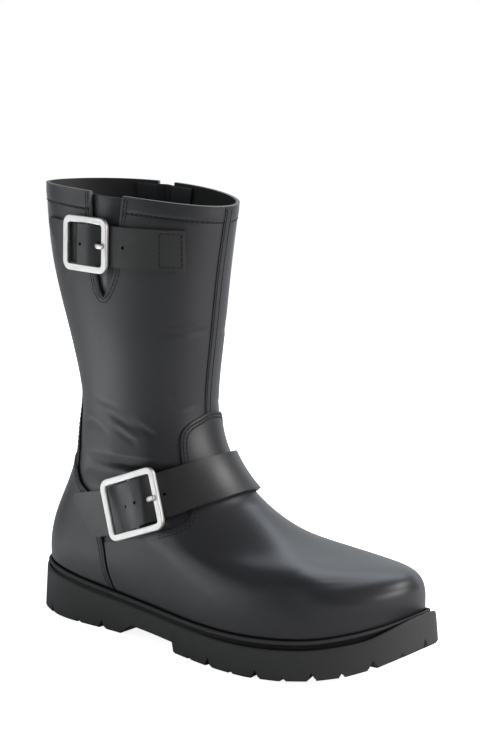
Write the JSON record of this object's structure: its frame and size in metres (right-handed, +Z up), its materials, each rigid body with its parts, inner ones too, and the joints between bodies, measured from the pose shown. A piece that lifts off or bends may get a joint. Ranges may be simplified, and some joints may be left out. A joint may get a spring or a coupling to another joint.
{
  "type": "buckle boot",
  "caption": "Mid-calf pull-on leather boot for the right foot, with a lugged rubber sole, a side gusset at the collar and buckled straps at collar and instep.",
  "frame": {"origin": "on the floor, under the middle of the boot's bounding box", "axes": "+X towards the toe, +Y towards the inner side of the foot, +Z up"},
  "size_m": [0.29, 0.1105, 0.2799],
  "materials": {
    "rubber": "matte",
    "lining": "matte",
    "leather": "satin",
    "overlay_leather": "satin",
    "gusset_leather": "satin",
    "strap_leather": "satin",
    "nickel": "brushed"
  },
  "bodies": {
    "root": {"outsole": "rubber", "welt": "rubber", "insole": "lining", "upper": "leather", "vamp": "overlay_leather", "counter": "overlay_leather", "backstay": "overlay_leather", "front_seam": "overlay_leather", "gusset_outer": "gusset_leather", "gusset_inner": "gusset_leather", "strap_upper": "strap_leather", "strap_lower": "strap_leather", "buckle_upper": "nickel", "buckle_lower": "nickel", "prong_upper": "nickel", "prong_lower": "nickel"}
  },
  "joints": []
}
